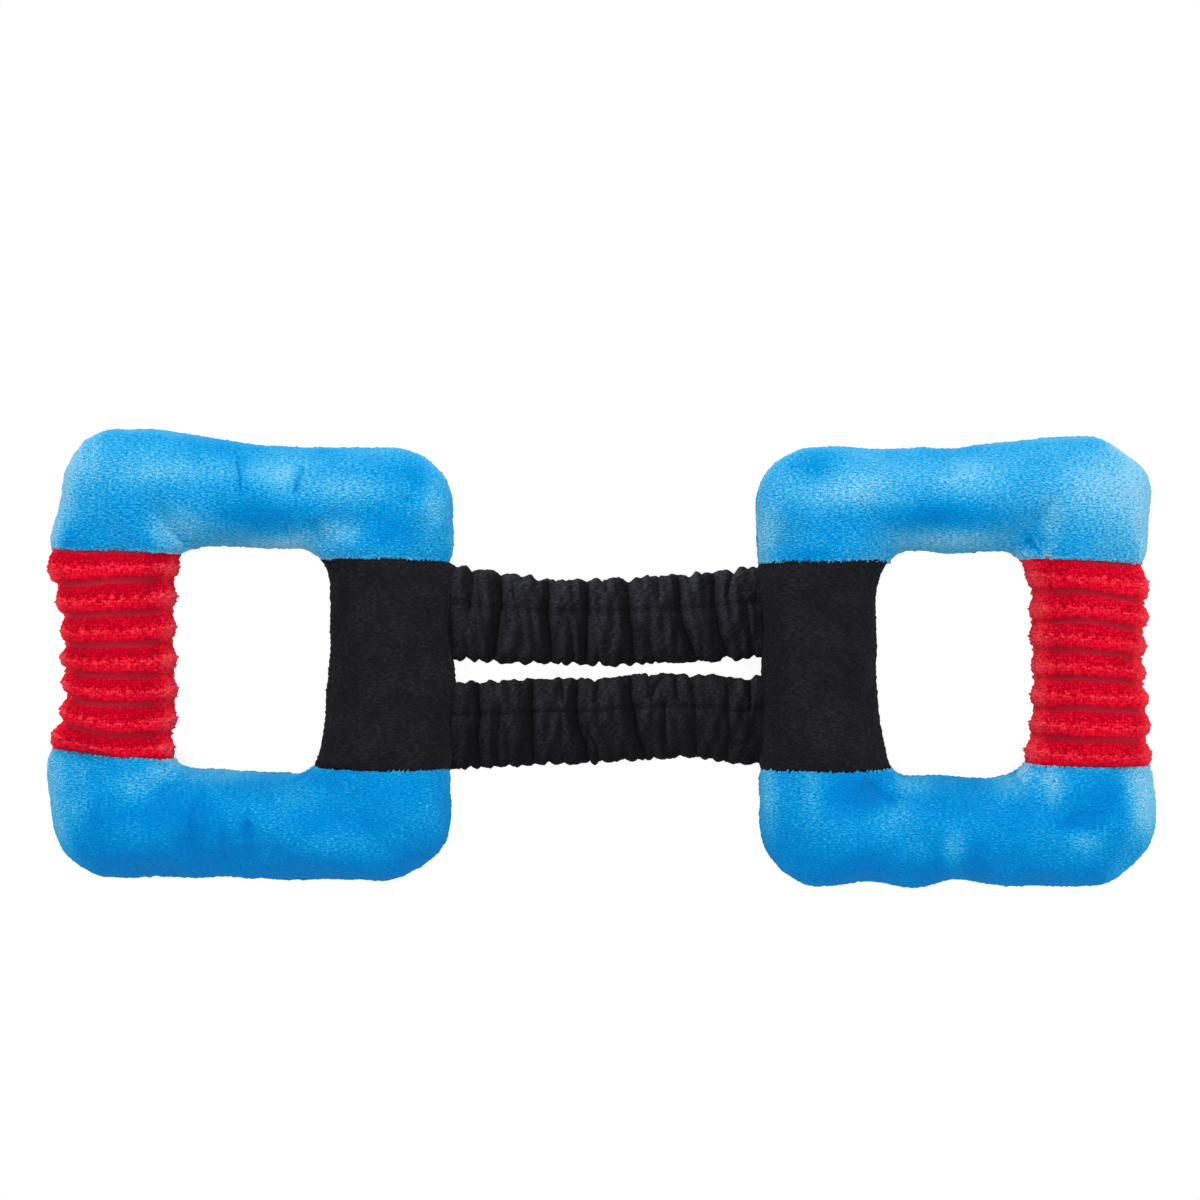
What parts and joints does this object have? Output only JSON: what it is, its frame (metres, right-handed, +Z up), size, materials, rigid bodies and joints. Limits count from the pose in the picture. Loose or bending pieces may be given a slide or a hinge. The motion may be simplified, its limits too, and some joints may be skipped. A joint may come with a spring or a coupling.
{
  "type": "plush dog tug toy",
  "caption": "Plush dog tug toy: stuffed square-ring handles with ribbed grips, joined by two parallel gathered elastic straps that stretch, fold and twist.",
  "frame": {"origin": "middle of the toy's outline, on the floor that it lies on", "axes": "+X along the toy from the left handle to the right handle, +Y across it, +Z up from the floor"},
  "size_m": [0.4459, 0.1809, 0.0415],
  "materials": {
    "blue_plush": "short-pile plush with a soft sheen",
    "red_ribbed_plush": "wide-wale ribbed plush with looped pile",
    "black_plush": "short-pile plush, smooth on the bars and gathered on the straps",
    "white_fibre": "loose polyester fibre",
    "black_elastic": "flat knitted elastic webbing",
    "black_thread": "polyester sewing thread",
    "squeaker_plastic": "soft blow-moulded plastic"
  },
  "bodies": {
    "left_handle": {"left_top_bar_front": "blue_plush", "left_top_bar_back": "blue_plush", "left_bottom_bar_front": "blue_plush", "left_bottom_bar_back": "blue_plush", "left_grip_front": "red_ribbed_plush", "left_grip_back": "red_ribbed_plush", "left_strap_bar_front": "black_plush", "left_strap_bar_back": "black_plush", "left_fibre_fill": "white_fibre", "left_squeaker_bulb": "squeaker_plastic", "left_squeaker_reed": "squeaker_plastic", "left_upper_strap_tack": "black_thread", "left_lower_strap_tack": "black_thread"},
    "strap_left": {"upper_elastic": "black_elastic", "lower_elastic": "black_elastic"},
    "strap_middle": {"upper_sleeve": "black_plush", "lower_sleeve": "black_plush"},
    "strap_right": {"upper_stitch_row": "black_thread", "lower_stitch_row": "black_thread"},
    "right_handle": {"right_top_bar_front": "blue_plush", "right_top_bar_back": "blue_plush", "right_bottom_bar_front": "blue_plush", "right_bottom_bar_back": "blue_plush", "right_grip_front": "red_ribbed_plush", "right_grip_back": "red_ribbed_plush", "right_strap_bar_front": "black_plush", "right_strap_bar_back": "black_plush", "right_fibre_fill": "white_fibre", "right_squeaker_bulb": "squeaker_plastic", "right_squeaker_reed": "squeaker_plastic", "right_upper_strap_tack": "black_thread", "right_lower_strap_tack": "black_thread"}
  },
  "joints": [
    {"name": "fold_left", "type": "hinge", "parent": "left_handle", "child": "strap_left", "pos_m": [-0.04632, -0.00429, 0.0205], "axis": [0, 1, 0], "range_deg": [-90, 90], "deforming": ["upper_elastic", "lower_elastic", "upper_sleeve", "lower_sleeve", "upper_stitch_row", "lower_stitch_row"]},
    {"name": "twist", "type": "hinge", "parent": "strap_left", "child": "strap_middle", "pos_m": [-0.01532, -0.00429, 0.0205], "axis": [1, 0, 0], "range_deg": [-90, 90], "deforming": ["upper_elastic", "lower_elastic", "upper_sleeve", "lower_sleeve", "upper_stitch_row", "lower_stitch_row"]},
    {"name": "stretch", "type": "slide", "parent": "strap_middle", "child": "strap_right", "axis": [1, 0, 0], "range_m": [0, 0.09], "stiffness_N_per_m": 400, "deforming": ["upper_elastic", "lower_elastic", "upper_sleeve", "lower_sleeve", "upper_stitch_row", "lower_stitch_row"]},
    {"name": "fold_right", "type": "hinge", "parent": "strap_right", "child": "right_handle", "pos_m": [0.04668, -0.00429, 0.0205], "axis": [0, 1, 0], "range_deg": [-90, 90], "deforming": ["upper_elastic", "lower_elastic", "upper_sleeve", "lower_sleeve", "upper_stitch_row", "lower_stitch_row"]}
  ]
}
